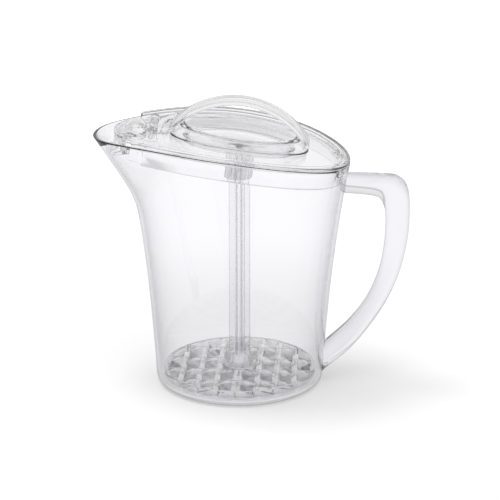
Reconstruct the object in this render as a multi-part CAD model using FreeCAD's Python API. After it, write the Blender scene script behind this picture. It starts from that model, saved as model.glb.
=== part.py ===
import FreeCAD, Part
import math
import os

# Clear plastic mixing pitcher: a round jug that widens to an oval rim with a pouring spout,
# a bonded side handle, an arched push-in lid with a pivoting spout flap, and a mixing plunger.
# Millimetres. +Z up, spout towards -X, handle towards +X. Origin: centre of the jug's flat base.

Vector = FreeCAD.Vector

# Jug
base_radius = 60.5
rim_half_length = 84.0
rim_half_width = 64.3
flare_linear_share = 0.5
flare_power = 2.5
jug_wall = 2.6
jug_floor = 3.0
base_corner_radius = 5.5
floor_corner_radius = 3.0

# The rim follows one shallow arc in side view, highest near the spout
rim_peak_z = 188.0
rim_peak_x = -60.0
rim_arc_radius = 480.0
rim_blank = 25.0

# Spout
spout_radius = 32.0
spout_reach = 107.0
spout_slope = 0.67
hull_sharpness = 30.0
section_points = 40
section_step = 24.0
corner_steps = 4

# Side handle
handle_width = 17.0
handle_top_drop = 28.5
handle_foot_z = 8.8
handle_grip_reach = 51.0
handle_gap_reach = 34.6
handle_edge_radius = 4.2
handle_root = 7.0
# Outline points: share of the handle's height, share of its reach from the jug's wall
HANDLE_BACK = [(1.0, 0.3), (0.996, 0.58), (0.985, 0.72), (0.954, 0.835), (0.897, 0.916),
               (0.778, 0.982), (0.658, 1.0), (0.512, 0.955), (0.362, 0.82), (0.221, 0.6), (0.102, 0.34)]
HANDLE_INSIDE = [(0.907, 0.3), (0.894, 0.633), (0.86, 0.824), (0.791, 0.936), (0.645, 1.0),
                 (0.506, 0.96), (0.366, 0.77), (0.248, 0.447)]
handle_arm_depth = 14.0
handle_foot_depth = 20.0
handle_foot_sink = 1.5

# Lid
lid_fit = 1.1
seat_gap = 0.3
flange_thickness = 2.7
flange_inset = 0.5
flange_width = 5.5
deck_thickness = 2.4
skirt_thickness = 2.0
skirt_depth = 14.0
skirt_front_x = -70.0
skirt_corner_radius = 6.0
flange_front_x = -74.0
rear_rib_angle = 16.0
rear_rib_width = 7.0
rear_rib_depth = 6.0
rear_rib_reach = 2.4

# Lid nose, which reaches into the spout
nose_centre_x = -59.0
nose_radius = 29.0
nose_wall = 2.0
nose_back_x = -66.0
curtain_depth = 8.0
cheek_depth = 14.0
window_radius = 25.0
window_half_width = 15.8
window_gap = 1.6
window_depth = 12.0

# Strainer comb under the nose
comb_height = 2.5
comb_teeth = 6
comb_pitch = 7.8
comb_tooth_width = 1.4
comb_tooth_height = 1.7
comb_reach = 5.5
comb_gap = 0.3

# Spout flap and its hinge
hinge_x = -62.0
hinge_rise = 2.8
pin_radius = 1.6
pin_clearance = 0.06
ear_radius = 4.2
ear_thickness = 4.4
ear_gap = 0.5
ear_root = 1.0
barrel_radius = 3.4
barrel_gap = 0.5
flap_thickness = 1.8
flap_gap = 0.5
flap_lip_drop = 9.0
flap_lip_thickness = 1.6
flap_lip_back = 8.0
flap_half_width = 21.0
dome_x = -74.2
dome_base_radius = 8.4
dome_height = 7.4
dome_wall = 1.5
paddle_angle = 13.7
paddle_thickness = 1.9
paddle_reach = 16.0
paddle_roll_radius = 1.6
paddle_roll_rise = 0.6
paddle_notch_radius = 18.0
paddle_notch_gap = 4.0

# Plunger handle: a finger bowl with a turned-down brim, and an arch over it
bowl_half_length = 42.0
bowl_half_width = 26.0
bowl_rise = 7.0
bowl_depth = 5.5
bowl_draft = 5.0
bowl_wall = 2.0
brim_half_length = 50.5
brim_half_width = 31.5
brim_land = 1.2
basin_gap = 0.6
basin_wall = 1.8
basin_floor = 2.2
arch_overhang = 2.3
arch_centre_x = -3.9
arch_top_rise = 29.5
arch_thickness = 3.5
arch_width = 19.0
arch_edge_radius = 1.2

# Plunger rod, guide bush, hub and mixing disc
rod_span = 15.4
rod_web = 3.3
rod_gap = 0.3
rod_foot = 1.5
guide_radius = 9.2
guide_length = 14.5
guide_flange_radius = 12.0
guide_flange_thickness = 2.0
guide_ribs = 12
guide_rib_radius = 0.7
guide_rib_gap = 1.0
guide_tongue = 1.2
hub_radius = 9.0
hub_height = 14.0
hub_ribs = 12
hub_rib_radius = 0.6
hub_rib_gap = 0.2
pad_side = 21.3
pad_height = 3.2
disc_radius = 55.6
disc_thickness = 4.2
disc_ring_width = 2.4
disc_bar_width = 1.3
disc_row_pitch = 22.0
disc_column_pitch = 13.1
disc_boss_width = 2.2
column_drop = 0.8
vane_length = 9.6
vane_rise = 3.4
vane_thickness = 0.9
vane_lift = 0.2
vane_gap = 3.0

# Reach of cutting blocks past the pitcher, and of cutters past the face they cut
big = 400.0
spare = 5.0

# Sizes worked out from the ones above
arc_centre_z = rim_peak_z - rim_arc_radius
top_z = rim_peak_z + rim_blank
disc_z = jug_floor + seat_gap + pad_height
basin_drop = bowl_depth + seat_gap
arch_half_span = brim_half_length + arch_overhang
arch_radius = (arch_half_span ** 2 + arch_top_rise ** 2) / (2 * arch_top_rise)
ear_in = window_half_width + ear_gap
comb_half = comb_pitch * (comb_teeth - 1) / 2 + comb_tooth_width
cheek_half_gap = comb_half + comb_gap


def rim_z(x, rise=0.0):
    """Height of the rim's arc at x, raised along the arc's radius."""
    radius = rim_arc_radius + rise
    return arc_centre_z + math.sqrt(radius ** 2 - (x - rim_peak_x) ** 2)


def wall_share(z):
    """How far the jug has widened at height z, from 0 at the base to 1 at the rim's peak."""
    t = max(z, 0.0) / rim_peak_z
    return flare_linear_share * t + (1.0 - flare_linear_share) * t ** flare_power


def half_length(z):
    return base_radius + (rim_half_length - base_radius) * wall_share(z)


def half_width(z):
    return base_radius + (rim_half_width - base_radius) * wall_share(z)


def spout_tip(z):
    return spout_reach + spout_slope * (z - rim_peak_z)


def section_wire(z, inset):
    """Plan section of the jug at height z, moved in by inset.

    The outline is the smoothed hull of the oval body and the spout's round nose, taken from
    their support distances, so an inset is an even wall."""
    a, b = half_length(z), half_width(z)
    centre = max(spout_tip(z) - spout_radius, 0.0)
    points = []
    for i in range(section_points):
        angle = 2.0 * math.pi * i / section_points
        c, s = math.cos(angle), math.sin(angle)
        body = math.hypot(a * c, b * s)
        body_rate = (b * b - a * a) * s * c / body
        nose = spout_radius - centre * c
        if nose > 0.0:
            top = max(body, nose)
            mix = (body / top) ** hull_sharpness + (nose / top) ** hull_sharpness
            reach = top * mix ** (1.0 / hull_sharpness)
            rate = ((body / reach) ** (hull_sharpness - 1.0) * body_rate
                    + (nose / reach) ** (hull_sharpness - 1.0) * centre * s)
        else:
            reach, rate = body, body_rate
        reach = reach - inset
        points.append(Vector(reach * c - rate * s, reach * s + rate * c, z))
    curve = Part.BSplineCurve()
    curve.interpolate(Points=points, PeriodicFlag=True)
    return Part.Wire(curve.toShape())


def body_loft(inset, low, high, corner):
    """Solid of the jug's form between two heights, moved in by inset, its lower edge rounded."""
    turns = [math.pi / 2 * i / corner_steps for i in range(corner_steps + 1)]
    foot = [section_wire(low + corner * (1.0 - math.cos(t)), inset + corner * (1.0 - math.sin(t))) for t in turns]
    start = low + corner
    count = max(3, int(round((high - start) / section_step)) + 1)
    wires = [section_wire(start + (high - start) * i / (count - 1), inset) for i in range(count)]
    return Part.makeLoft(foot, True, False).fuse(Part.makeLoft(wires, True, False))


def rim_loft(inset, low, high):
    """The same form close to the rim, where its sides are almost straight."""
    return Part.makeLoft([section_wire(low, inset), section_wire(high, inset)], True, True)


def plate_xz(wire, half):
    """Solid from a closed wire in the XZ plane, as wide as half on each side of it."""
    face = Part.Face(wire)
    face.translate(Vector(0, -half, 0))
    return face.extrude(Vector(0, 2 * half, 0))


def arc_points(rise):
    """Three points of the arc at this rise over the rim, wider than the pitcher."""
    return [Vector(x, 0, rim_z(x, rise)) for x in (-150.0, 0.0, 150.0)]


def layer(low, high):
    """Everything between two arcs that follow the rim, at these rises over it."""
    top = arc_points(high)
    bottom = arc_points(low)
    edges = [Part.Arc(*top).toShape(), Part.makeLine(top[2], bottom[2]),
             Part.Arc(*reversed(bottom)).toShape(), Part.makeLine(bottom[0], top[0])]
    return plate_xz(Part.Wire(edges), big / 2)


def under_rim(rise=0.0):
    top = arc_points(rise)
    low_right = Vector(top[2].x, 0, -big)
    low_left = Vector(top[0].x, 0, -big)
    edges = [Part.Arc(*top).toShape(), Part.makeLine(top[2], low_right),
             Part.makeLine(low_right, low_left), Part.makeLine(low_left, top[0])]
    return plate_xz(Part.Wire(edges), big / 2)


def block(x0, x1, y0, y1, z0, z1):
    return Part.makeBox(x1 - x0, y1 - y0, z1 - z0, Vector(x0, y0, z0))


def upright(radius, x=0.0, low=-50.0, high=300.0):
    return Part.makeCylinder(radius, high - low, Vector(x, 0, low))


def along_y(radius, x, z, half):
    return Part.makeCylinder(radius, 2 * half, Vector(x, -half, z), Vector(0, 1, 0))


def one(shape):
    """The solid of a result, or a group of its solids."""
    solids = shape.Solids
    return solids[0] if len(solids) == 1 else Part.makeCompound(solids)


def soften(solid, radius, edges):
    """Round some edges."""
    return solid.makeFillet(radius, edges) if edges else solid


# The bowl, brim and basin are cones on ovals, square to the rim's slope at the middle
lean = math.degrees(math.asin(-rim_peak_x / rim_arc_radius))


def oval_cone(low, low_a, low_b, high, high_a, high_b):
    """Oval frustum between two heights over the deck, leaning with the lid."""
    wires = []
    for h, a, b in ((low, low_a, low_b), (high, high_a, high_b)):
        centre = Vector(0, 0, h)
        if a >= b:
            oval = Part.Ellipse(centre, a, b)
        else:
            oval = Part.Ellipse(Vector(0, b, h), Vector(a, 0, h), centre)
        wires.append(Part.Wire(oval.toShape()))
    cone = Part.makeLoft(wires, True, True)
    cone.rotate(Vector(0, 0, 0), Vector(0, 1, 0), lean)
    cone.translate(Vector(0, 0, rim_z(0)))
    return cone


def bowl_cone(grow, high):
    """Outside of the finger bowl up to a height, grown by a clearance or a wall."""
    slope = bowl_draft / (bowl_rise + bowl_depth)
    low = -bowl_depth - spare
    shrink, spread = slope * (bowl_rise - low), slope * (high - bowl_rise)
    a, b = bowl_half_length + grow, bowl_half_width + grow
    return oval_cone(low, a - shrink, b - shrink, high, a + spread, b + spread)


def brim_cone(grow, high):
    """Outside of the turned-down brim up to a height."""
    slope_a = (brim_half_length - bowl_half_length - brim_land) / bowl_rise
    slope_b = (brim_half_width - bowl_half_width - brim_land) / bowl_rise
    a, b, low = brim_half_length + grow, brim_half_width + grow, -spare
    return oval_cone(low, a - slope_a * low, b - slope_b * low, high, a - slope_a * high, b - slope_b * high)


def cross_prism(span, web, low, high):
    """Upright bar with a plus-shaped section."""
    along = block(-span / 2, span / 2, -web / 2, web / 2, low, high)
    across = block(-web / 2, web / 2, -span / 2, span / 2, low, high)
    return along.fuse(across).removeSplitter()


def ribs_round(count, radius, ring, low, high):
    """Upright round ribs, evenly spaced on a circle."""
    out = []
    for i in range(count):
        angle = 2 * math.pi * (i + 0.5) / count
        out.append(Part.makeCylinder(radius, high - low,
                                     Vector(ring * math.cos(angle), ring * math.sin(angle), low)))
    return out


# Jug: an even wall over a thick floor, open at the top
def make_jug(form):
    inside = body_loft(jug_wall, jug_floor, top_z + spare, floor_corner_radius)
    return one(form.common(under_rim()).cut(inside))


# Side handle: a rounded bar from under the rim to the foot, bonded to the wall
def handle_curve(shares, reach, low, high, first, last):
    points = [first]
    for up, out in shares:
        z = low + up * (high - low)
        points.append(Vector(half_length(z) + out * reach, 0, z))
    points.append(last)
    curve = Part.BSplineCurve()
    curve.interpolate(points)
    return curve.toShape()


def make_handle(form):
    low, high = handle_foot_z, rim_peak_z - handle_top_drop

    def root(z):
        return Vector(half_length(z) - handle_root, 0, z)

    top_back, top_inside = root(high), root(high - handle_arm_depth)
    foot_back, foot_inside = root(low - handle_foot_sink), root(low + handle_foot_depth)
    back = handle_curve(HANDLE_BACK, handle_grip_reach, low, high, top_back, foot_back)
    inside = handle_curve(HANDLE_INSIDE, handle_gap_reach, low, high, top_inside, foot_inside)
    outline = Part.Wire([back, Part.makeLine(foot_back, foot_inside), inside,
                         Part.makeLine(top_inside, top_back)])
    bar = plate_xz(outline, handle_width / 2)
    long_edges = [e for e in bar.Edges if e.Length > handle_arm_depth * 4]
    bar = soften(bar, handle_edge_radius, long_edges)
    return one(bar.cut(form))


# Lid: flange on the rim, skirt inside it, arched deck, basin for the finger bowl, nose and hinge ears
def skirt_front_cutter():
    """Everything in front of the skirt's ends and below the deck, with the ends' lower corners rounded."""
    x0, r = skirt_front_x, skirt_corner_radius
    low = rim_z(x0, -skirt_depth)
    k = r * math.sqrt(0.5)
    start = Vector(x0 + r, 0, -big)
    corner = Vector(x0 + r, 0, low)
    side = Vector(x0, 0, low + r)
    end = Vector(x0, 0, big)
    arc = Part.Arc(corner, Vector(x0 + r - k, 0, low + r - k), side).toShape()
    far = [Vector(-big, 0, big), Vector(-big, 0, -big)]
    edges = [Part.makeLine(start, corner), arc, Part.makeLine(side, end), Part.makeLine(end, far[0]),
             Part.makeLine(far[0], far[1]), Part.makeLine(far[1], start)]
    return plate_xz(Part.Wire(edges), big / 2).common(under_rim(-deck_thickness))


def rear_rib(side, inset):
    """Block that stands in from the skirt at the back, beside the handle."""
    reach = half_length(rim_z(rim_half_length)) - inset - rear_rib_reach
    rib = block(reach, big, -rear_rib_width / 2, rear_rib_width / 2, -big, big)
    rib.rotate(Vector(0, 0, 0), Vector(0, 0, 1), side * rear_rib_angle)
    return rib.common(layer(-rear_rib_depth, 0.0))


def nose_parts():
    """Curtain and cheeks that hang from the nose and guide the liquid to the strainer."""
    ring = upright(nose_radius, nose_centre_x).cut(upright(nose_radius - nose_wall, nose_centre_x))
    ring = ring.common(block(-big, nose_back_x, -big, big, -big, big))
    plate = upright(nose_radius, nose_centre_x).common(block(-big, nose_back_x, -big, big, -big, big))
    parts = [plate.common(layer(-deck_thickness, 0.0)), ring.common(layer(-curtain_depth, 0.0))]
    cheeks = ring.common(layer(-cheek_depth, 0.0))
    parts.append(cheeks.common(block(-big, big, cheek_half_gap, big, -big, big)))
    parts.append(cheeks.common(block(-big, big, -big, -cheek_half_gap, -big, big)))
    return parts


def ear_parts(hinge_z):
    """Hinge ears beside the window, with webs down to the deck."""
    parts = []
    for side in (-1, 1):
        y0 = ear_in if side > 0 else -ear_in - ear_thickness
        parts.append(Part.makeCylinder(ear_radius, ear_thickness, Vector(hinge_x, y0, hinge_z), Vector(0, 1, 0)))
        parts.append(block(hinge_x - ear_radius, hinge_x + ear_radius, y0, y0 + ear_thickness,
                           rim_z(hinge_x) - ear_root, hinge_z))
    return parts


def make_lid():
    low = rim_z(rim_half_length, -skirt_depth) - spare
    high = rim_peak_z + spare
    plug_inset = jug_wall + lid_fit
    core_inset = plug_inset + skirt_thickness
    crown = seat_gap + flange_thickness
    lid = rim_loft(plug_inset, low, high).common(layer(-skirt_depth, crown))
    lid = lid.fuse(rim_loft(flange_inset, low, high).common(layer(seat_gap, crown)))
    recess = rim_loft(flange_inset + flange_width, low - spare, high + spare)
    lid = lid.cut(recess.common(layer(0.0, crown + spare)))
    hollow = rim_loft(core_inset, low - spare, high + spare).common(under_rim(-deck_thickness))
    hollow = hollow.cut(rear_rib(1, core_inset)).cut(rear_rib(-1, core_inset))
    lid = lid.cut(hollow)
    lid = lid.cut(block(-big, flange_front_x, -big, big, -big, big)).cut(skirt_front_cutter())

    hinge_z = rim_z(hinge_x) + hinge_rise
    basin = bowl_cone(basin_gap + basin_wall, bowl_rise).common(layer(-basin_drop - basin_floor, 0.0))
    nose = nose_parts()
    nose = nose[0].multiFuse(nose[1:])
    lid = lid.fuse(basin).multiFuse([nose] + ear_parts(hinge_z))
    lid = lid.cut(bowl_cone(basin_gap, bowl_rise + spare).common(layer(-basin_drop, big / 4)))
    window = upright(window_radius, nose_centre_x, hinge_z - window_depth, hinge_z + window_depth).common(
        block(-big, hinge_x + barrel_radius + window_gap, -window_half_width, window_half_width, -big, big))
    pin_hole = along_y(pin_radius, hinge_x, hinge_z, ear_in + ear_thickness + spare)
    return one(lid.cut(window).cut(upright(guide_radius)).cut(pin_hole))


def make_guide():
    """Bush that guides the rod, seated up against the underside of the basin."""
    roof = -basin_drop - basin_floor
    seat = rim_z(0, roof)
    low = seat - guide_length
    bush = Part.makeCylinder(guide_radius, guide_length + guide_tongue, Vector(0, 0, low))
    flange = upright(guide_flange_radius).common(layer(roof - guide_flange_thickness, roof))
    ribs = ribs_round(guide_ribs, guide_rib_radius, guide_radius, low, seat - guide_flange_thickness - guide_rib_gap)
    guide = bush.multiFuse([flange] + ribs)
    return one(guide.cut(cross_prism(rod_span + 2 * rod_gap, rod_web + 2 * rod_gap, 0, big)))


def make_comb():
    """Curved bar under the nose with teeth that point into the spout."""
    top, low = -curtain_depth, -curtain_depth - comb_height
    ring = upright(nose_radius, nose_centre_x).cut(upright(nose_radius - nose_wall, nose_centre_x))
    bar = ring.common(block(-big, nose_back_x, -comb_half, comb_half, -big, big)).common(layer(low, top))
    reach = upright(nose_radius + comb_reach, nose_centre_x)
    reach = reach.cut(upright(nose_radius - nose_wall / 2, nose_centre_x))
    teeth = []
    for i in range(comb_teeth):
        y = comb_pitch * (i - (comb_teeth - 1) / 2)
        tooth = block(-big, nose_back_x, y - comb_tooth_width / 2, y + comb_tooth_width / 2, -big, big)
        teeth.append(tooth.common(reach).common(layer(low, low + comb_tooth_height)))
    return one(bar.multiFuse(teeth))


# Spout flap: cover plate with a front lip and a dome, a hinge barrel, and a thumb paddle behind it
def make_flap():
    hinge_z = rim_z(hinge_x) + hinge_rise
    under = rim_z(hinge_x) + flap_gap
    top = under + flap_thickness
    lip_in = nose_radius + flap_gap
    lip_out = lip_in + flap_lip_thickness
    front = block(-big, hinge_x, -flap_half_width, flap_half_width, -big, big)
    disc = upright(lip_out, nose_centre_x, under, top).common(front)
    lip = upright(lip_out, nose_centre_x, top - flap_lip_drop, top)
    lip = lip.cut(upright(lip_in, nose_centre_x))
    lip = lip.common(block(-big, nose_back_x - flap_lip_back, -flap_half_width, flap_half_width, -big, big))

    sphere_radius = (dome_base_radius ** 2 + dome_height ** 2) / (2 * dome_height)
    dome_centre = Vector(dome_x, 0, top + dome_height - sphere_radius)
    dome = Part.makeSphere(sphere_radius, dome_centre).common(block(-big, big, -big, big, under, big))
    hollow = Part.makeSphere(sphere_radius - dome_wall, dome_centre)

    barrel = along_y(barrel_radius, hinge_x, hinge_z, window_half_width - barrel_gap)

    plate = block(0, paddle_reach, -flap_half_width, flap_half_width, -paddle_thickness / 2, paddle_thickness / 2)
    roll = along_y(paddle_roll_radius, paddle_reach, paddle_roll_rise, flap_half_width)
    paddle = plate.fuse(roll)
    paddle.rotate(Vector(0, 0, 0), Vector(0, 1, 0), -paddle_angle)
    paddle.translate(Vector(hinge_x, 0, hinge_z))
    notch_x = -brim_half_length - paddle_notch_gap + paddle_notch_radius
    paddle = paddle.cut(upright(paddle_notch_radius, notch_x))
    ear_room = ear_radius + barrel_gap
    for side in (-1, 1):
        y0 = window_half_width - barrel_gap if side > 0 else -big
        room = Part.makeCylinder(ear_room, big - window_half_width + barrel_gap, Vector(hinge_x, y0, hinge_z),
                                 Vector(0, 1, 0))
        paddle = paddle.cut(room)
        wing = block(hinge_x - ear_room, hinge_x + ear_room, y0, y0 + big - window_half_width + barrel_gap,
                     -big, big)
        disc = disc.cut(wing)
    flap = disc.multiFuse([lip, dome, barrel, paddle]).cut(hollow.common(block(-big, big, -big, big, 0, big)))
    return one(flap.cut(along_y(pin_radius + pin_clearance, hinge_x, hinge_z, big / 2)))


def make_pin():
    hinge_z = rim_z(hinge_x) + hinge_rise
    return along_y(pin_radius, hinge_x, hinge_z, ear_in + ear_thickness)


# Plunger
def make_plunger_handle():
    foot = oval_cone(-big / 8, brim_half_length, brim_half_width, big / 8, brim_half_length, brim_half_width)
    brim = brim_cone(0.0, bowl_rise).cut(brim_cone(-bowl_wall, bowl_rise - bowl_wall))
    brim = brim.common(foot).common(layer(seat_gap, big / 4))
    bowl = bowl_cone(0.0, bowl_rise).common(layer(-bowl_depth, big / 4))
    well = bowl_cone(-bowl_wall, bowl_rise + spare).common(layer(-bowl_depth + bowl_wall, big / 4))

    centre_z = rim_z(arch_centre_x) + arch_top_rise - arch_radius
    arch = along_y(arch_radius, arch_centre_x, centre_z, arch_width / 2)
    edges = [e for e in arch.Edges if abs(e.BoundBox.YLength) < 0.01]
    arch = soften(arch, arch_edge_radius, edges)
    arch = arch.cut(along_y(arch_radius - arch_thickness, arch_centre_x, centre_z, big / 2))
    arch = arch.common(foot).common(layer(seat_gap, big / 4))
    arch = arch.cut(brim_cone(-bowl_wall / 2, bowl_rise - bowl_wall / 2))
    handle = brim.multiFuse([bowl, arch]).cut(well)
    return one(handle.cut(cross_prism(rod_span, rod_web, 0, rim_z(0))))


def rod_ends():
    return disc_z + rod_foot, rim_z(0, -bowl_depth + bowl_wall)


def make_rod():
    low, high = rod_ends()
    rod = cross_prism(rod_span, rod_web, low, high + spare)
    return one(rod.common(under_rim(-bowl_depth + bowl_wall)))


def make_hub():
    """Socket on the rod's end, with a square pad that carries the disc."""
    low = disc_z - pad_height
    pad = block(-pad_side / 2, pad_side / 2, -pad_side / 2, pad_side / 2, low, disc_z)
    socket = upright(hub_radius, 0, low, disc_z + hub_height)
    ribs = ribs_round(hub_ribs, hub_rib_radius, hub_radius, disc_z + disc_thickness + hub_rib_gap, disc_z + hub_height)
    hub = pad.multiFuse([socket] + ribs)
    return one(hub.cut(cross_prism(rod_span, rod_web, rod_ends()[0], big)))


def make_disc():
    """Open grid in a ring, with a sloping mixing vane in each cell, mirrored about the middle."""
    low, high = disc_z, disc_z + disc_thickness
    inside = disc_radius - disc_ring_width
    ring = upright(disc_radius, 0, low, high).cut(upright(inside))
    boss = upright(hub_radius + disc_boss_width, 0, low, high)
    parts = [boss]
    half_bar = disc_bar_width / 2
    rows = int(disc_radius / disc_row_pitch + 0.5)
    columns = int(disc_radius / disc_column_pitch)
    keep = upright(inside + disc_ring_width / 2)
    for j in range(-rows, rows):
        y = disc_row_pitch * (j + 0.5)
        parts.append(block(-big / 4, big / 4, y - half_bar, y + half_bar, low, high).common(keep))
    for k in range(-columns, columns + 1):
        x = disc_column_pitch * k
        parts.append(block(x - half_bar, x + half_bar, -big / 4, big / 4, low, high - column_drop).common(keep))
    for side in (-1, 1):
        for k in range(columns):
            parts.append(vane_row(side, disc_column_pitch * (columns - k)).common(keep))
    disc = ring.multiFuse(parts)
    return one(disc.cut(upright(hub_radius)))


def vane_row(side, far):
    """Sloping strip along one column of cells: low at its outer edge, raised towards the middle."""
    start = far - disc_bar_width / 4
    low = disc_z + vane_lift
    p = [Vector(side * start, 0, low), Vector(side * (start - vane_length), 0, low + vane_rise),
         Vector(side * (start - vane_length), 0, low + vane_rise + vane_thickness),
         Vector(side * start, 0, low + vane_thickness)]
    face = Part.Face(Part.makePolygon(p + [p[0]]))
    face.translate(Vector(0, -big / 4, 0))
    strip = face.extrude(Vector(0, big / 2, 0))
    gaps = []
    rows = int(disc_radius / disc_row_pitch + 0.5)
    for j in range(-rows, rows):
        y = disc_row_pitch * (j + 0.5)
        gaps.append(block(-big / 4, big / 4, y + disc_bar_width / 2, y + disc_bar_width / 2 + vane_gap, -big, big))
    return strip.cut(Part.makeCompound(gaps))


def main():
    os.makedirs("parts", exist_ok=True)
    form = body_loft(0.0, 0.0, top_z, base_corner_radius)
    nodes = {
        "pitcher_jug": make_jug(form),
        "side_handle": make_handle(form),
        "lid_shell": make_lid(),
        "rod_guide": make_guide(),
        "strainer_comb": make_comb(),
        "flap_pin": make_pin(),
        "spout_flap": make_flap(),
        "plunger_handle": make_plunger_handle(),
        "plunger_rod": make_rod(),
        "disc_hub": make_hub(),
        "mixing_disc": make_disc(),
    }
    for name, shape in nodes.items():
        shape.exportStep(os.path.join("parts", name + ".step"))
        box = shape.optimalBoundingBox(False, False)
        print(name, "valid", shape.isValid(), "solids", len(shape.Solids), "volume", round(shape.Volume),
              "x %.1f %.1f y %.1f %.1f z %.1f %.1f" % (box.XMin, box.XMax, box.YMin, box.YMax, box.ZMin, box.ZMax))


main()
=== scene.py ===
import math

import bmesh
import bpy
from mathutils import Matrix, Vector


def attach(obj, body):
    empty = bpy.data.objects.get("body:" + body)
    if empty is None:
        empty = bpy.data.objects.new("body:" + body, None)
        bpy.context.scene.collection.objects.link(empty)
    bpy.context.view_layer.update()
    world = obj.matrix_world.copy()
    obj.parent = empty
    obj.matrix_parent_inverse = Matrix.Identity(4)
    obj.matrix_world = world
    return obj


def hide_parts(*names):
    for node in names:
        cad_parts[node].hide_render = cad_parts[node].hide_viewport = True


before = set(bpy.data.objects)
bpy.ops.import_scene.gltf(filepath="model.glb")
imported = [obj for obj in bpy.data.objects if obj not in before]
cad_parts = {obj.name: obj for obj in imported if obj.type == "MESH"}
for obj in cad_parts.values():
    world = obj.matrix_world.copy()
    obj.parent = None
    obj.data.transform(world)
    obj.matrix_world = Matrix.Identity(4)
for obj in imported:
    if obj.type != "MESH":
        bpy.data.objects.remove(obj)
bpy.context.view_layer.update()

# Clear plastic mixing pitcher. Sizes below are in millimetres, in the frame's own axes:
# +Z up, spout towards -X, handle towards +X, origin at the middle of the base.
MM = 0.001

# Jug: a round foot that widens to an oval rim, whose edge follows a wide arc
base_radius = 60.5
rim_half_length = 84.0
rim_half_width = 64.3
flare_linear_share = 0.5
flare_power = 2.5
jug_wall = 2.6
jug_floor = 3.0
base_corner_radius = 5.5
floor_corner_radius = 3.0
rim_edge_radius = 0.7
rim_peak_z = 188.0
rim_peak_x = -60.0
rim_arc_radius = 480.0
spout_radius = 32.0
spout_reach = 107.0
spout_slope = 0.67
# How sharply the body's oval turns into the spout
hull_sharpness = 30.0
jug_wall_rows = 26

# Side handle
handle_width = 17.0
handle_top_drop = 28.5
handle_foot_z = 8.8
handle_grip_reach = 51.0
handle_gap_reach = 34.6
handle_edge_radius = 6.4
handle_arm_depth = 14.0
handle_foot_depth = 20.0
handle_foot_sink = 1.5
handle_end_sink = 1.0
handle_sections = 60
# Outline points: share of the handle's height, share of its reach from the jug's wall
HANDLE_BACK = [(0.996, 0.58), (0.985, 0.72), (0.954, 0.835), (0.897, 0.916), (0.778, 0.982), (0.658, 1.0),
               (0.512, 0.955), (0.362, 0.82), (0.221, 0.6), (0.102, 0.34)]
HANDLE_INSIDE = [(0.894, 0.633), (0.86, 0.824), (0.791, 0.936), (0.645, 1.0), (0.506, 0.96), (0.366, 0.77),
                 (0.248, 0.447)]

# Lid: flange, deck and skirt. Depths are measured down from the rim's arc
lid_fit = 1.1
seat_gap = 0.3
flange_thickness = 2.7
flange_inset = 0.5
flange_width = 5.5
flange_front_x = -74.0
deck_thickness = 2.4
skirt_thickness = 2.0
skirt_depth = 14.0
skirt_front_x = -70.0
skirt_corner_radius = 6.0

# Nose over the spout, with a curtain in front and cheeks at its sides
nose_centre_x = -59.0
nose_radius = 29.0
nose_wall = 2.0
nose_back_x = -66.0
curtain_depth = 8.0
cheek_depth = 14.0
cheek_half_gap = 21.2

# Pouring window in the deck, and the ears that hold the cover's hinge pin
window_radius = 25.0
window_half_width = 15.8
window_back_x = -57.0
hinge_x = -62.0
hinge_rise = 2.8
pin_radius = 1.6
ear_radius = 4.2
ear_thickness = 4.4
ear_gap = 0.5
ear_sink = 1.0
ear_squareness = 0.15

# Lugs that the lid's skirt carries at the back
lug_angle = 16.0
lug_width = 7.0
lug_length = 4.0
lug_depth = 6.0
lug_reach = 2.4
lug_top = -1.0

# Finger bowl with its brim, and the basin under it
bowl_half_length = 42.0
bowl_half_width = 26.0
bowl_rise = 7.0
bowl_depth = 5.5
bowl_draft = 5.0
bowl_wall = 2.0
brim_half_length = 50.5
brim_half_width = 31.5
brim_land = 1.2
basin_gap = 0.6
basin_wall = 1.8
basin_floor = 2.2

# Arch over the finger bowl; its ends are given in degrees round its centre
arch_radius = 62.0
arch_centre_x = -3.9
arch_top_rise = 29.5
arch_thickness = 3.5
arch_width = 19.0
arch_edge_radius = 1.2
arch_end_inset = 0.3
arch_front_end = 139.5
arch_back_end = 27.5
arch_steps = 80

# Rod with a plus-shaped section, its guide bush and its hub
rod_span = 15.4
rod_web = 3.3
rod_draft = 1.1
rod_tip_radius = 0.9
rod_root_radius = 1.0
round_ribs = 12
guide_radius = 9.2
guide_length = 14.5
guide_bore = 8.1
guide_rib_radius = 0.7
guide_rib_gap = 1.0
guide_flange_radius = 12.0
guide_flange_thickness = 2.0
guide_collar = 1.2
hub_radius = 9.0
hub_height = 14.0
hub_wall = 2.0
hub_socket_depth = 6.0
hub_rib_radius = 0.6
hub_rib_gap = 0.2
pad_side = 21.3
pad_height = 3.2
pad_edge_radius = 0.5
disc_z = 6.5
disc_thickness = 4.2

# Air left between pieces that touch, so that their faces stay apart
air = 0.05
# Points closer than these are one: in a new skin, and in a finished piece
skin_merge = 0.001
piece_merge = 0.002
# Edges that turn by more than these angles are shown sharp, or are eased on a copied solid
smooth_angle = 35.0
sharp_angle = 38.0
# Rounds that bring a point to rest where two surfaces meet
settling = 6
# Places past the lid on each side, which its cutters reach
past_front = -200.0
past_side = 100.0
under_lid = 100.0
over_lid = 250.0

# Plastic: how strongly it bends light, how fine its waves and its haze are, the waves' height in
# metres, how dull the haze makes it, and the part of the haze that is everywhere
plastic_bend = 1.49
wave_scale = 70.0
wave_height = 0.0006
haze_scale = 25.0
haze_dulling = 0.012
haze_least = 0.3

# Room: dim, with a bright ceiling and a bright wall behind the pitcher, as shares of white. Each fade
# runs between two values of how far up, or how far behind the pitcher, a direction points
room_dim = 0.22
room_bright = 1.1
ceiling_fade = (0.62, 0.85)
wall_fade = (0.15, 0.75)
wall_top_fade = (0.42, 0.72)

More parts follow.
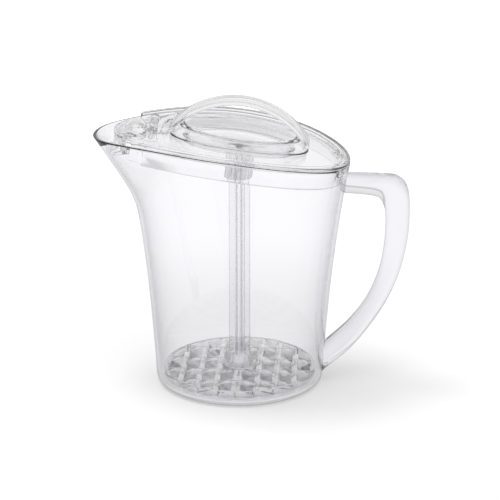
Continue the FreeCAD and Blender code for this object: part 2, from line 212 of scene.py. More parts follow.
# Floor: its own colour, the white that no lamp gives, and its tones through the plastic, as shares of
# white. The tones through the plastic hold painted shade: greyer near the pitcher and darker under it,
# where its shadow falls, and dimmer far from it. Its size and the fades' distances from the pitcher's
# middle are in metres
floor_size = 6.0
floor_colour = (0.5, 0.5, 0.5, 1.0)
floor_glow = 0.5
floor_glow_fade = (0.3, 0.9)
through_colour = (0.985, 0.975, 1.0, 1.0)
through_shaded_tone = 0.87
through_open_gain = 0.14
through_open_fade = (0.1, 0.34)
# Painted shadow under the pitcher, on the floor as seen through the plastic
through_under_shadow = 0.13
through_under_shadow_fade = (0.045, 0.09)
through_far_loss = 0.35
through_far_fade = (0.75, 1.3)
mirrored_share = 0.6

# Lamps: name, place and width in metres, power in watts. Both point at the pitcher's middle
LAMPS = [("key", (-0.36, 0.08, 1.4), 0.45, 9.0), ("fill", (0.3, -0.5, 1.7), 1.2, 7.0)]
lamp_aim = (0.0, 0.0, 0.09)

# Camera, which stands where the photograph was taken from
camera_azimuth = 3.5
camera_elevation = 19.6
camera_distance = 2200.0
camera_target = (7.602, 0.0, 99.249)
camera_lens = 218.3


# Shape of the rim and of the jug's plan section
def rim_z(x, rise=0.0):
    """Height of the arc that runs at this rise over the rim."""
    radius = rim_arc_radius + rise
    return rim_peak_z - rim_arc_radius + math.sqrt(radius ** 2 - (x - rim_peak_x) ** 2)


def wall_share(z):
    """How far the wall has widened at a height: 0 at the foot, 1 at the rim's peak."""
    t = max(z, 0.0) / rim_peak_z
    return flare_linear_share * t + (1.0 - flare_linear_share) * t ** flare_power


def half_length(z):
    return base_radius + (rim_half_length - base_radius) * wall_share(z)


def half_width(z):
    return base_radius + (rim_half_width - base_radius) * wall_share(z)


def section_point(angle, z, inset):
    """Point of the jug's plan section whose outline faces along angle."""
    a, b = half_length(z), half_width(z)
    centre = max(spout_reach + spout_slope * (z - rim_peak_z) - spout_radius, 0.0)
    c, s = math.cos(angle), math.sin(angle)
    body = math.hypot(a * c, b * s)
    rate = (b * b - a * a) * s * c / body
    reach = body
    spout = spout_radius - centre * c
    if spout > 0.0:
        top = max(body, spout)
        mix = (body / top) ** hull_sharpness + (spout / top) ** hull_sharpness
        reach = top * mix ** (1.0 / hull_sharpness)
        rate = ((body / reach) ** (hull_sharpness - 1.0) * rate
                + (spout / reach) ** (hull_sharpness - 1.0) * centre * s)
    reach -= inset
    return Vector((reach * c - rate * s, reach * s + rate * c, z))


def rim_point(angle, inset, rise):
    """Point of the section where it meets the arc that runs at this rise over the rim."""
    z = rim_peak_z
    for _ in range(settling):
        z = rim_z(section_point(angle, z, inset).x, rise)
    return section_point(angle, z, inset)


# Mesh helpers. A ring function gives the place of each angle's point on a closed ring
def add_ring(bm, place, count):
    """Closed loop of vertices, each put where place says for its angle; returns its edges."""
    verts = bmesh.ops.create_circle(bm, cap_ends=False, segments=count, radius=1.0)["verts"]
    for v in verts:
        v.co = place(math.atan2(v.co.y, v.co.x))
    return list({e for v in verts for e in v.link_edges})


def skin(places, closed=False, count=200):
    """Surface over a row of rings, either joined into a loop or capped at both ends."""
    bm = bmesh.new()
    rings = [add_ring(bm, place, count) for place in places]
    pairs = list(zip(rings, rings[1:]))
    if closed:
        pairs.append((rings[-1], rings[0]))
    for a, b in pairs:
        bmesh.ops.bridge_loops(bm, edges=a + b)
    if not closed:
        bmesh.ops.holes_fill(bm, edges=rings[0] + rings[-1], sides=0)
    bmesh.ops.remove_doubles(bm, verts=bm.verts[:], dist=skin_merge)
    bmesh.ops.recalc_face_normals(bm, faces=bm.faces[:])
    return bm


def bent(before, place, after, radius, share):
    """Ring function part of the way round the curve that replaces a profile's corner."""
    def turn(angle):
        b = place(angle)
        a = b + (before(angle) - b).normalized() * radius
        c = b + (after(angle) - b).normalized() * radius
        return a.lerp(b, share).lerp(b.lerp(c, share), share)
    return turn


def rounded(corners, closed=False, steps=4):
    """Ring functions for a profile whose corners are pairs of a ring function and an edge radius."""
    rings = []
    for i, (place, radius) in enumerate(corners):
        if radius == 0.0 or (not closed and i in (0, len(corners) - 1)):
            rings.append(place)
            continue
        before, after = corners[i - 1][0], corners[(i + 1) % len(corners)][0]
        rings += [bent(before, place, after, radius, k / steps) for k in range(steps + 1)]
    return rings


def box(x0, x1, y0, y1, z0, z1):
    bm = bmesh.new()
    verts = bmesh.ops.create_cube(bm, size=1.0)["verts"]
    bmesh.ops.scale(bm, vec=(x1 - x0, y1 - y0, z1 - z0), verts=verts)
    bmesh.ops.translate(bm, vec=((x0 + x1) / 2, (y0 + y1) / 2, (z0 + z1) / 2), verts=verts)
    return bm


def rod_along_y(radius, x, z, y0, y1, count=48):
    def end(y):
        return lambda angle: Vector((x + radius * math.cos(angle), y, z + radius * math.sin(angle)))
    return skin([end(y0), end(y1)], count=count)


def shown(bm, name):
    """Object of the mesh, in the scene; the bmesh is used up."""
    mesh = bpy.data.meshes.new(name)
    bm.to_mesh(mesh)
    bm.free()
    piece = bpy.data.objects.new(name, mesh)
    bpy.context.scene.collection.objects.link(piece)
    return piece


def combine(bm, tool, operation):
    """Adds the tool's volume, or takes it away; both meshes are used up."""
    work, other = shown(bm, "work"), shown(tool, "tool")
    step = work.modifiers.new("combine", "BOOLEAN")
    step.operation = operation
    step.solver = "EXACT"
    step.object = other
    mesh = bpy.data.meshes.new_from_object(work.evaluated_get(bpy.context.evaluated_depsgraph_get()))
    result = bmesh.new()
    result.from_mesh(mesh)
    for piece in (work, other):
        spent = piece.data
        bpy.data.objects.remove(piece)
        bpy.data.meshes.remove(spent)
    bpy.data.meshes.remove(mesh)
    return result


def add_piece(bm, name, body, replaced, material, scale=MM):
    """Puts a finished mesh in the scene, smooth but for its sharp edges."""
    bmesh.ops.remove_doubles(bm, verts=bm.verts[:], dist=piece_merge * MM / scale)
    bmesh.ops.scale(bm, vec=(scale, scale, scale), verts=bm.verts[:])
    for face in bm.faces:
        face.smooth = True
    for edge in bm.edges:
        if len(edge.link_faces) == 2:
            edge.smooth = edge.calc_face_angle(0.0) < math.radians(smooth_angle)
    piece = shown(bm, name)
    piece.data.materials.append(material)
    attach(piece, body)
    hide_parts(*replaced)


def eased_copy(node, name, body, material, width=0.3, flat=0.3):
    """Copy of a flat-sided solid with its sharp edges eased by width.

    Faces that lie within flat degrees of each other are joined first.
    """
    bm = bmesh.new()
    bm.from_mesh(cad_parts[node].data)
    bmesh.ops.remove_doubles(bm, verts=bm.verts[:], dist=piece_merge * MM)
    bmesh.ops.dissolve_limit(bm, angle_limit=math.radians(flat), verts=bm.verts[:], edges=bm.edges[:])
    edges = [e for e in bm.edges
             if len(e.link_faces) == 2 and e.calc_face_angle(0.0) > math.radians(sharp_angle)]
    bmesh.ops.bevel(bm, geom=edges, offset=width * MM, segments=2, affect="EDGES", profile=0.5,
                    material=-1, clamp_overlap=True)
    add_piece(bm, name, body, [node], material, scale=1.0)


# Shader helpers
class Number:
    """Wraps a number socket, so that shader maths is written as an expression."""

    def __init__(self, shader, socket):
        self.shader = shader
        self.socket = socket

    def _math(self, operation, a, b):
        node = self.shader.add("Math", {"operation": operation}, {0: a, 1: b})
        return Number(self.shader, node.outputs["Value"])

    def __add__(self, other):
        return self._math("ADD", self, other)

    __radd__ = __add__

    def __sub__(self, other):
        return self._math("SUBTRACT", self, other)

    def __rsub__(self, other):
        return self._math("SUBTRACT", other, self)

    def __mul__(self, other):
        return self._math("MULTIPLY", self, other)

    __rmul__ = __mul__

    def __pow__(self, other):
        return self._math("POWER", self, other)

    def __rpow__(self, other):
        return self._math("POWER", other, self)


class Shader:
    """A node tree of a material or of the world, with one method that adds any node."""

    def __init__(self, owner):
        owner.use_nodes = True
        self.tree = owner.node_tree
        self.tree.nodes.clear()

    def add(self, kind, settings=None, inputs=None):
        node = self.tree.nodes.new("ShaderNode" + kind)
        for key, value in (settings or {}).items():
            setattr(node, key, value)
        for key, value in (inputs or {}).items():
            slot = node.inputs[key]
            if isinstance(value, Number):
                self.tree.links.new(value.socket, slot)
            elif isinstance(value, bpy.types.NodeSocket):
                self.tree.links.new(value, slot)
            else:
                slot.default_value = value
        return node

    def number(self, socket):
        return Number(self, socket)

    def fade(self, value, start, end):
        """Number that rises smoothly from 0 to 1 as the value goes from start to end."""
        node = self.add("MapRange", {"interpolation_type": "SMOOTHSTEP"},
                        {"Value": value, "From Min": start, "From Max": end})
        return self.number(node.outputs["Result"])

    def blend(self, factor, first, second):
        """Mix of two colours; a Mix node's colour sockets go by place, as their names are shared."""
        node = self.add("Mix", {"data_type": "RGBA"},
                        {"Factor": factor, 6: (*first, 1.0), 7: (*second, 1.0)})
        return node.outputs[2]


def clear_plastic(name, tint, edge, hold, swell=0.03, clearness=1.0):
    """Clear moulded plastic: light bends in it, and where it is seen along its skin its colour turns
    towards the edge colour, a painted shade that draws its edges as dark lines.

    A higher hold keeps the grey of the edge colour nearer to the edges. A higher swell makes the faces
    wavier. Fine haze dulls them in places.
    """
    material = bpy.data.materials.new(name)
    s = Shader(material)
    place = s.add("TexCoord").outputs["Object"]
    waves = s.add("TexNoise", inputs={"Vector": place, "Scale": wave_scale, "Detail": 2.0}).outputs["Fac"]
    mist = s.add("TexNoise", inputs={"Vector": place, "Scale": haze_scale, "Detail": 4.0}).outputs["Fac"]
    facing = s.number(s.add("LayerWeight", inputs={"Blend": 0.5}).outputs["Facing"])
    bump = s.add("Bump", inputs={"Strength": swell, "Distance": wave_height, "Height": waves})
    # Base colour: the tint, greyed towards the edge colour where the skin is seen edge-on, which is painted
    # shade for the dark lines at clear edges
    shader = s.add("BsdfPrincipled", inputs={
        "Base Color": s.blend(facing ** hold, tint, edge),
        "Roughness": haze_dulling * (s.number(mist) + haze_least),
        "IOR": plastic_bend,
        "Transmission Weight": clearness,
        "Normal": bump.outputs["Normal"]})
    s.add("OutputMaterial", inputs={"Surface": shader.outputs["BSDF"]})
    return material


# Each material's second colour is painted shade: the dark grey that its edges turn where the skin is seen
# edge-on
jug_plastic = clear_plastic("jug_plastic", (0.998, 0.998, 1.0), (0.12, 0.12, 0.14), 2.9, swell=0.04)
grip_plastic = clear_plastic("grip_plastic", (0.93, 0.93, 0.94), (0.15, 0.15, 0.17), 2.0)
lid_plastic = clear_plastic("lid_plastic", (0.998, 0.998, 1.0), (0.06, 0.06, 0.07), 7.0, swell=0.012)
bush_plastic = clear_plastic("bush_plastic", (0.985, 0.985, 0.99), (0.06, 0.06, 0.07), 4.5, swell=0.01)
rod_plastic = clear_plastic("rod_plastic", (0.94, 0.94, 0.95), (0.02, 0.02, 0.03), 1.2, swell=0.01)
disc_plastic = clear_plastic("disc_plastic", (0.99, 0.99, 1.0), (0.1, 0.1, 0.12), 5.0, swell=0.0,
                             clearness=0.94)


# Ring functions shared by the pieces
def level(z, inset):
    return lambda angle: section_point(angle, z, inset)


def along_rim(inset, rise):
    return lambda angle: rim_point(angle, inset, rise)


def disc_ring(radius, z, ribs=0.0):
    """Round ring at a height, with round ribs on it."""
    def place(angle):
        r = radius + ribs * max(0.0, math.cos(round_ribs * angle)) ** 3
        return Vector((r * math.cos(angle), r * math.sin(angle), z))
    return place


def sloped_ring(radius, rise):
    """Round ring that follows the rim's arc at a rise over it."""
    def place(angle):
        x, y = radius * math.cos(angle), radius * math.sin(angle)
        return Vector((x, y, rim_z(x, rise)))
    return place


lean = math.asin(-rim_peak_x / rim_arc_radius)


def leaning(u, v, h):
    """Place of a point given along, across and over the slope of the deck's middle."""
    return Vector((u * math.cos(lean) + h * math.sin(lean), v,
                   rim_z(0.0) - u * math.sin(lean) + h * math.cos(lean)))


def bowl_size(grow, h):
    """Half length and half width of the bowl's side at a height over the deck."""
    inward = bowl_draft / (bowl_rise + bowl_depth) * (bowl_rise - h)
    return bowl_half_length + grow - inward, bowl_half_width + grow - inward


def brim_size(grow, h):
    """Half length and half width of the brim's outside at a height over the deck."""
    share = 1.0 - h / bowl_rise
    a = bowl_half_length + brim_land + (brim_half_length - bowl_half_length - brim_land) * share
    b = bowl_half_width + brim_land + (brim_half_width - bowl_half_width - brim_land) * share
    return min(a, brim_half_length) + grow, min(b, brim_half_width) + grow


def oval_at(size, grow, h):
    """Oval ring of the bowl or the brim at a height over the deck."""
    a, b = size(grow, h)
    return lambda angle: leaning(a * math.cos(angle), b * math.sin(angle), h)


def oval_on(size, grow, rise, scale=1.0):
    """Oval ring where the bowl's or brim's side meets the arc at this rise over the rim."""
    def place(angle):
        h = rise
        for _ in range(settling):
            a, b = size(grow, h)
            p = leaning(scale * a * math.cos(angle), scale * b * math.sin(angle), h)
            h += (rim_z(p.x, rise) - p.z) / math.cos(lean)
        return p
    return place


def rounded_bar(angle, half_a, half_b, radius):
    """Point of a rectangle with round corners, facing along angle."""
    c, s = math.cos(angle), math.sin(angle)
    corner = Vector(((half_a - radius) * (1 if c > 0 else -1), (half_b - radius) * (1 if s > 0 else -1)))
    return corner + radius * Vector((c, s))


# Jug: rings up the inside, over the rim and down the outside
def make_jug():
    quarter = [math.pi / 2 * i / 4 for i in range(5)]
    shares = [i / jug_wall_rows for i in range(1, jug_wall_rows)]

    def part_way(start, share, inset):
        """Ring that lies a share of the way up from a level to the rim."""
        def place(angle):
            z = start
            for _ in range(settling):
                x = section_point(angle, z, inset).x
                z = start + share * (rim_z(x, -rim_edge_radius) - start)
            return section_point(angle, z, inset)
        return place

    r = floor_corner_radius
    inside = [level(jug_floor + r * (1 - math.cos(t)), jug_wall + r * (1 - math.sin(t))) for t in quarter]
    inside += [part_way(jug_floor + r, share, jug_wall) for share in shares]
    r = rim_edge_radius
    rim = [along_rim(jug_wall - r * (1 - math.cos(t)), -r * (1 - math.sin(t))) for t in quarter]
    rim += [along_rim(r * (1 - math.sin(t)), -r * (1 - math.cos(t))) for t in quarter]
    r = base_corner_radius
    outside = [part_way(r, 1 - share, 0.0) for share in shares]
    outside += [level(r * (1 - math.sin(t)), r * (1 - math.cos(t))) for t in quarter]
    jug = skin(inside + rim + outside)
    add_piece(jug, "jug_body", "pitcher", ["pitcher_jug"], jug_plastic)


# Side handle: rounded sections between the outlines of its back and its inside
def smooth_line(points, count):
    """Points spread evenly along a smooth line through the given ones."""
    steps = 20
    fine = []
    ends = [points[0] * 2 - points[1]] + points + [points[-1] * 2 - points[-2]]
    for p0, p1, p2, p3 in zip(ends, ends[1:], ends[2:], ends[3:]):
        for i in range(steps):
            t = i / steps
            fine.append(0.5 * (2 * p1 + (p2 - p0) * t + (2 * p0 - 5 * p1 + 4 * p2 - p3) * t ** 2
                               + (3 * p1 - p0 - 3 * p2 + p3) * t ** 3))
    fine.append(points[-1])
    reach = [0.0]
    for a, b in zip(fine, fine[1:]):
        reach.append(reach[-1] + (b - a).length)
    out = []
    j = 0
    for i in range(count):
        goal = reach[-1] * i / (count - 1)
        while j < len(fine) - 2 and reach[j + 1] < goal:
            j += 1
        out.append(fine[j].lerp(fine[j + 1], (goal - reach[j]) / (reach[j + 1] - reach[j])))
    return out


def wall_x(y, z):
    """Outside of the jug's back wall."""
    return half_length(z) * math.sqrt(max(0.0, 1.0 - (y / half_width(z)) ** 2))


def make_side_handle():
    low, high = handle_foot_z, rim_peak_z - handle_top_drop

    def outline(shares, reach, top, foot):
        points = [Vector((half_length(top) - handle_end_sink, 0.0, top))]
        for up, out in shares:
            z = low + up * (high - low)
            points.append(Vector((half_length(z) + out * reach, 0.0, z)))
        points.append(Vector((half_length(foot) - handle_end_sink, 0.0, foot)))
        return smooth_line(points, handle_sections)

    def section(back, inside):
        middle, half = (back + inside) / 2, (back - inside) / 2
        out = half.normalized()

        def place(angle):
            flat = rounded_bar(angle, half.length, handle_width / 2, handle_edge_radius)
            p = middle + out * flat.x + Vector((0.0, flat.y, 0.0))
            p.x = max(p.x, wall_x(p.y, p.z) + air)
            return p
        return place

    backs = outline(HANDLE_BACK, handle_grip_reach, high, low - handle_foot_sink)
    insides = outline(HANDLE_INSIDE, handle_gap_reach, high - handle_arm_depth, low + handle_foot_depth)
    bar = skin([section(back, inside) for back, inside in zip(backs, insides)], count=64)
    add_piece(bar, "side_handle_bar", "pitcher", ["side_handle"], grip_plastic)


# Lid: one closed profile carried round the rim, which the nose, lugs, ears and window then join
plug_inset = jug_wall + lid_fit
core_inset = plug_inset + skirt_thickness
hinge_z = rim_z(hinge_x) + hinge_rise


def make_flange_and_deck():
    crown = seat_gap + flange_thickness
    deck_edge = flange_inset + flange_width
    drop = bowl_depth + seat_gap
    basin_top = oval_on(bowl_size, basin_gap, 0.0)
    basin_under = oval_on(bowl_size, basin_gap + basin_wall, -deck_thickness)

    def deck_rows(outer, inner, rise):
        """Rings spread between two others and laid on the arc at this rise over the rim."""
        def on_arc(share):
            def place(angle):
                p = outer(angle).lerp(inner(angle), share)
                p.z = rim_z(p.x, rise)
                return p
            return place
        return [(on_arc(i / 4), 0.0) for i in range(1, 4)]

    # Corners of the profile, each with the radius of its edge
    corners = [(along_rim(plug_inset, -skirt_depth), 0.95), (along_rim(plug_inset, seat_gap), 0.2),
               (along_rim(flange_inset, seat_gap), 0.5), (along_rim(flange_inset, crown), 0.9),
               (along_rim(deck_edge, crown), 0.8), (along_rim(deck_edge, 0.0), 0.8)]
    corners += deck_rows(along_rim(deck_edge, 0.0), basin_top, 0.0)
    corners += [(basin_top, 0.5), (oval_on(bowl_size, basin_gap, -drop), 1.2),
                (sloped_ring(guide_radius + air, -drop), 0.4),
                (sloped_ring(guide_radius + air, -drop - basin_floor), 0.3),
                (oval_on(bowl_size, basin_gap + basin_wall, -drop - basin_floor), 1.6), (basin_under, 0.6)]
    corners += deck_rows(basin_under, along_rim(core_inset, -deck_thickness), -deck_thickness)
    corners += [(along_rim(core_inset, -deck_thickness), 0.8), (along_rim(core_inset, -skirt_depth), 0.95)]
    return skin(rounded(corners, closed=True, steps=3), closed=True, count=240)


def cut_front(lid):
    """Ends the flange short of the spout's tip, and the skirt at a front with a round foot corner."""
    def front_block(back_x, high):
        return box(past_front, back_x, -past_side, past_side, under_lid, high)

    lid = combine(lid, front_block(flange_front_x, over_lid), "DIFFERENCE")
    lid = combine(lid, front_block(skirt_front_x, rim_z(skirt_front_x, -deck_thickness)), "DIFFERENCE")
    # The corner's cutter is a block less a round bar. It starts a little under the skirt's foot
    r, past, lap = skirt_corner_radius, 1.0, 0.1
    foot = rim_z(skirt_front_x, -skirt_depth) - lap
    corner = box(skirt_front_x - past, skirt_front_x + r, past - past_side, past_side - past,
                 foot - 2 * past, foot + r)
    bar = rod_along_y(r, skirt_front_x + r, foot + r, -past_side, past_side, 64)
    return combine(lid, combine(corner, bar, "DIFFERENCE"), "DIFFERENCE")


def nose_block(radius, low, high, back_x):
    """Upright block with the nose's plan, whose ends follow the rim's arc."""
    middle = (nose_centre_x - radius + back_x) / 2
    cut = math.acos((back_x - nose_centre_x) / radius)

    def ring(rise, share):
        def place(angle):
            x, y = nose_centre_x + radius * math.cos(angle), radius * math.sin(angle)
            if abs(angle) < cut:
                x, y = back_x, radius * math.sin(cut) * angle / cut
            x = middle + share * (x - middle)
            return Vector((x, share * y, rim_z(x, rise)))
        return place

    # Each end has rings from near its middle out to its outline
    shares = (0.05, 0.35, 0.7, 1.0)
    return skin([ring(low, share) for share in shares] + [ring(high, share) for share in shares[::-1]])


def add_nose(lid):
    """Nose with a short curtain in front, between deeper cheeks."""
    past = 4.0
    back_x = nose_back_x + past
    nose = nose_block(nose_radius, -cheek_depth, 0.0, nose_back_x)
    hollow = nose_block(nose_radius - nose_wall, -cheek_depth - past, -deck_thickness, back_x)
    nose = combine(nose, hollow, "DIFFERENCE")
    curtain_foot = rim_z(nose_centre_x - nose_radius, -curtain_depth)
    gap = box(past_front, back_x, -cheek_half_gap, cheek_half_gap, under_lid, curtain_foot)
    return combine(lid, combine(nose, gap, "DIFFERENCE"), "UNION")


def add_lugs(lid):
    reach = half_length(rim_z(rim_half_length)) - core_inset - lug_reach
    for side in (-1, 1):
        lug = box(reach, reach + lug_length, -lug_width / 2, lug_width / 2, -1.0, 1.0)
        turned = Matrix.Rotation(side * math.radians(lug_angle), 3, "Z")
        bmesh.ops.rotate(lug, cent=(0, 0, 0), matrix=turned, verts=lug.verts[:])
        for v in lug.verts:
            v.co.z = rim_z(v.co.x, -lug_depth if v.co.z < 0.0 else lug_top)
        lid = combine(lid, lug, "UNION")
    return lid


def add_ears(lid):
    """Ears that are round above the pin and square below it."""
    def ear_ring(y):
        def place(angle):
            c, s = math.cos(angle), math.sin(angle)
            if s >= 0.0:
                return Vector((hinge_x + ear_radius * c, y, hinge_z + ear_radius * s))
            across = math.copysign(abs(c) ** ear_squareness, c)
            down = abs(s) ** ear_squareness
            return Vector((hinge_x + ear_radius * across, y, hinge_z - (hinge_rise + ear_sink) * down))
        return place

    for side in (-1, 1):
        inner = side * (window_half_width + ear_gap)
        ear = skin([ear_ring(inner), ear_ring(inner + side * ear_thickness)], count=48)
        lid = combine(lid, ear, "UNION")
    return lid


def cut_window(lid):
    """Opens the pouring window, then the pin's hole through both ears."""
    def window_ring(z):
        def place(angle):
            x = min(nose_centre_x + window_radius * math.cos(angle), window_back_x)
            y = max(-window_half_width, min(window_half_width, window_radius * math.sin(angle)))
            return Vector((x, y, z))
        return place

    past = 12.0
    opening = skin([window_ring(hinge_z - past), window_ring(hinge_z + past)], count=96)
    lid = combine(lid, opening, "DIFFERENCE")
    reach = nose_radius + 1.0
    hole = rod_along_y(pin_radius + air, hinge_x, hinge_z, -reach, reach, 32)
    return combine(lid, hole, "DIFFERENCE")


def make_lid():
    lid = make_flange_and_deck()
    for step in (cut_front, add_nose, add_lugs, add_ears, cut_window):
        lid = step(lid)
    add_piece(lid, "lid_moulding", "lid", ["lid_shell"], lid_plastic)


# Guide bush under the basin, and the hinge pin
def make_guide():
    roof = -bowl_depth - seat_gap - basin_floor - air
    seat = rim_z(0.0, roof)
    low = seat - guide_length
    rib_top = seat - guide_flange_thickness - guide_rib_gap
    flange_under = roof - guide_flange_thickness
    collar = roof + guide_collar
    # Corners of the profile, each with the radius of its edge
    corners = [(disc_ring(guide_bore, low), 0.3), (disc_ring(guide_radius, low, guide_rib_radius), 0.3),
               (disc_ring(guide_radius, rib_top, guide_rib_radius), 0.3),
               (disc_ring(guide_radius, rib_top), 0.0), (sloped_ring(guide_radius, flange_under), 0.2),
               (sloped_ring(guide_flange_radius, flange_under), 0.5),
               (sloped_ring(guide_flange_radius, roof), 0.5), (sloped_ring(guide_radius - air, roof), 0.1),
               (sloped_ring(guide_radius - air, collar), 0.3), (sloped_ring(guide_bore, collar), 0.3)]
    bush = skin(rounded(corners, closed=True, steps=2), closed=True, count=144)
    add_piece(bush, "rod_guide_bush", "lid", ["rod_guide"], bush_plastic)


def make_pin():
    reach = window_half_width + ear_gap + ear_thickness
    pin = rod_along_y(pin_radius - air, hinge_x, hinge_z, -reach, reach)
    add_piece(pin, "hinge_pin", "lid", ["flap_pin"], rod_plastic)


# Plunger handle: finger bowl with a turned-down brim, and the arch over it
def make_bowl():
    roof = bowl_rise - bowl_wall
    floor_top = -bowl_depth + bowl_wall
    middle_share = 0.3
    # Corners of the profile, each with the radius of its edge
    corners = [(oval_on(bowl_size, -bowl_wall, floor_top, middle_share), 0.0),
               (oval_on(bowl_size, -bowl_wall, floor_top), 2.2),
               (oval_at(bowl_size, -bowl_wall, bowl_rise), 0.8), (oval_at(brim_size, 0.0, bowl_rise), 0.8),
               (oval_on(brim_size, 0.0, seat_gap), 0.6), (oval_on(brim_size, -bowl_wall, seat_gap), 0.6),
               (oval_at(brim_size, -bowl_wall, roof), 0.6), (oval_at(bowl_size, 0.0, roof), 0.4),
               (oval_on(bowl_size, 0.0, -bowl_depth), 1.8),
               (oval_on(bowl_size, 0.0, -bowl_depth, middle_share), 0.0)]
    return skin(rounded(corners))


def make_arch():
    centre_z = rim_z(arch_centre_x) + arch_top_rise - arch_radius
    middle = arch_radius - arch_thickness / 2
    end = brim_half_length - arch_end_inset

    def section(turn):
        def place(angle):
            flat = rounded_bar(angle, arch_thickness / 2, arch_width / 2, arch_edge_radius)
            r = middle + flat.x
            x = max(-end, min(end, arch_centre_x + r * math.cos(turn)))
            z = max(centre_z + r * math.sin(turn), rim_z(x, seat_gap + air))
            return Vector((x, flat.y, z))
        return place

    first, last = math.radians(arch_front_end), math.radians(arch_back_end)
    turns = [first + (last - first) * i / arch_steps for i in range(arch_steps + 1)]
    return skin([section(turn) for turn in turns], count=48)


def make_plunger_handle():
    handle = combine(make_bowl(), make_arch(), "UNION")
    add_piece(handle, "bowl_and_arch", "plunger", ["plunger_handle"], lid_plastic)


# Rod: four arms drawn out of a square core, thinner towards their tips
def make_rod():
    low, high = disc_z + hub_height + air, rim_z(0.0, -bowl_depth)
    root = (rod_web + rod_draft) / 2
    rod = box(-root, root, -root, root, low, high)
    for side in [f for f in rod.faces if abs(f.normal.z) < 0.5]:
        out = Vector(side.normal)
        grown = bmesh.ops.extrude_discrete_faces(rod, faces=[side])["faces"][0]
        for v in grown.verts:
            along = v.co.dot(out)
            across = Vector((v.co.x, v.co.y, 0.0)) - out * along
            v.co += out * (rod_span / 2 - along) - across * rod_draft / root

    def uprights():
        return [e for e in rod.edges if abs(e.verts[0].co.z - e.verts[1].co.z) > 1.0]

    tips = [e for e in uprights() if max(abs(c) for c in e.verts[0].co.xy) > rod_web]
    bmesh.ops.bevel(rod, geom=tips, offset=rod_tip_radius, segments=4, affect="EDGES", profile=0.5,
                    material=-1)
    roots = [e for e in uprights() if all(abs(abs(c) - root) < 0.01 for c in e.verts[0].co.xy)]
    bmesh.ops.bevel(rod, geom=roots, offset=rod_root_radius, segments=4, affect="EDGES", profile=0.5,
                    material=-1)
    for v in rod.verts:
        if v.co.z > high - 1.0:
            v.co.z = rim_z(v.co.x, -bowl_depth) - air
    add_piece(rod, "rod_bar", "plunger", ["plunger_rod"], rod_plastic)


# Hub and its square pad
def make_hub():
    top = disc_z + hub_height
    socket_floor = top - hub_socket_depth
    rib_foot = disc_z + disc_thickness + hub_rib_gap
    core, bore, floor_middle = hub_radius - air, hub_radius - hub_wall, 1.0
    # Corners of the profile, each with the radius of its edge
    corners = [(disc_ring(core, disc_z), 0.3), (disc_ring(core, rib_foot), 0.0),
               (disc_ring(hub_radius, rib_foot, hub_rib_radius), 0.1),
               (disc_ring(hub_radius, top, hub_rib_radius), 0.6), (disc_ring(bore, top), 0.3),
               (disc_ring(bore, socket_floor), 0.3), (disc_ring(floor_middle, socket_floor), 0.0)]
    hub = skin(rounded(corners, steps=2), count=144)
    add_piece(hub, "hub_socket", "plunger", ["disc_hub"], bush_plastic)
    half = pad_side / 2
    pad = box(-half, half, -half, half, disc_z - pad_height, disc_z - air)
    bmesh.ops.bevel(pad, geom=pad.edges[:], offset=pad_edge_radius, segments=3, affect="EDGES", profile=0.5,
                    material=-1)
    add_piece(pad, "hub_pad", "plunger", ["disc_hub"], bush_plastic)


make_jug()
make_side_handle()
make_lid()
make_guide()
make_pin()
make_plunger_handle()
make_rod()
make_hub()
eased_copy("mixing_disc", "mixing_grid", "plunger", disc_plastic)
eased_copy("strainer_comb", "pour_comb", "lid", rod_plastic, width=0.2)
eased_copy("spout_flap", "spout_cover", "spout_gate", lid_plastic, width=0.25, flat=0.1)


# Camera
def make_camera():
    azimuth, elevation = math.radians(camera_azimuth), math.radians(camera_elevation)
    back = Vector((math.sin(azimuth) * math.cos(elevation), -math.cos(azimuth) * math.cos(elevation),
                   math.sin(elevation)))
    camera = bpy.data.objects.new("camera", bpy.data.cameras.new("camera"))
    bpy.context.scene.collection.objects.link(camera)
    camera.location = (Vector(camera_target) + back * camera_distance) * MM
    camera.rotation_euler = back.to_track_quat("Z", "Y").to_euler()
    camera.data.lens = camera_lens
    camera.data.sensor_width = 36.0
    camera.data.clip_end = 20.0
    bpy.context.scene.camera = camera
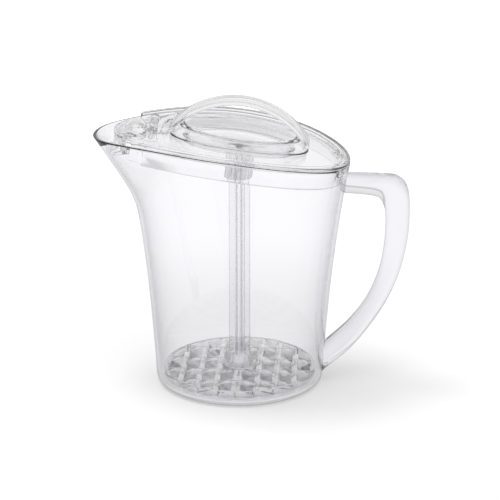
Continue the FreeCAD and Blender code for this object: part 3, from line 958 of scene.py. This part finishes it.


# Floor: white with the shadow on it, and through the plastic white too, but with painted shade: greyer
# near the pitcher and under it, where its shadow falls, and also greyer far from it
def make_floor():
    material = bpy.data.materials.new("floor_white")
    s = Shader(material)
    path = s.add("LightPath")
    seen = s.number(path.outputs["Is Camera Ray"])
    place = s.add("TexCoord").outputs["Object"]
    away = s.number(s.add("VectorMath", {"operation": "LENGTH"}, {0: place}).outputs["Value"])
    diffuse = s.add("BsdfDiffuse", inputs={"Color": floor_colour})
    glow = s.add("Emission", inputs={"Strength": (floor_glow + s.fade(away, *floor_glow_fade)) * seen})
    lit = s.add("AddShader", inputs={0: diffuse.outputs[0], 1: glow.outputs[0]})
    # Painted shadow: the floor seen through the plastic is greyer near the pitcher and darker under it
    under = 1.0 - s.fade(away, *through_under_shadow_fade)
    white = (through_shaded_tone + through_open_gain * s.fade(away, *through_open_fade)
             - through_under_shadow * under - through_far_loss * s.fade(away, *through_far_fade))
    through = s.add("Emission", inputs={"Color": through_colour, "Strength": white})
    in_plastic = (s.number(path.outputs["Is Transmission Ray"])
                  + mirrored_share * s.number(path.outputs["Is Glossy Ray"]))
    mixed = s.add("MixShader", inputs={0: in_plastic, 1: lit.outputs[0], 2: through.outputs[0]})
    s.add("OutputMaterial", inputs={"Surface": mixed.outputs[0]})
    bm = bmesh.new()
    bmesh.ops.create_grid(bm, x_segments=1, y_segments=1, size=floor_size)
    floor = shown(bm, "floor")
    floor.data.materials.append(material)


# Surround: a white wall behind and a soft ceiling light, dim elsewhere, so that clear edges draw as lines
def make_surround():
    world = bpy.data.worlds.new("surround")
    bpy.context.scene.world = world
    s = Shader(world)
    seen = s.number(s.add("LightPath").outputs["Is Camera Ray"])
    split = s.add("SeparateXYZ", inputs={0: s.add("TexCoord").outputs["Generated"]})
    behind, up = s.number(split.outputs[1]), s.number(split.outputs[2])
    ceiling = s.fade(up, *ceiling_fade)
    wall = s.fade(behind, *wall_fade) * (1.0 - s.fade(up, *wall_top_fade))
    glow = room_dim + (room_bright - room_dim) * (ceiling + wall)
    sky = s.add("Background", inputs={"Strength": glow + (1.0 - glow) * seen})
    s.add("OutputWorld", inputs={"Surface": sky.outputs[0]})


def add_lamp(name, place, size, power):
    """Square lamp that points at the pitcher and isn't seen in or through the plastic."""
    lamp = bpy.data.lights.new(name, "AREA")
    lamp.size = size
    lamp.energy = power
    holder = bpy.data.objects.new(name, lamp)
    bpy.context.scene.collection.objects.link(holder)
    holder.location = place
    holder.rotation_euler = (Vector(place) - Vector(lamp_aim)).to_track_quat("Z", "Y").to_euler()
    holder.visible_glossy = False
    holder.visible_transmission = False


make_camera()
make_floor()
make_surround()
for lamp in LAMPS:
    add_lamp(*lamp)

# Enough bounces for light to pass through all the clear walls
scene = bpy.context.scene
scene.view_settings.view_transform = "Standard"
scene.cycles.max_bounces = 32
scene.cycles.transmission_bounces = 32
scene.cycles.glossy_bounces = 16
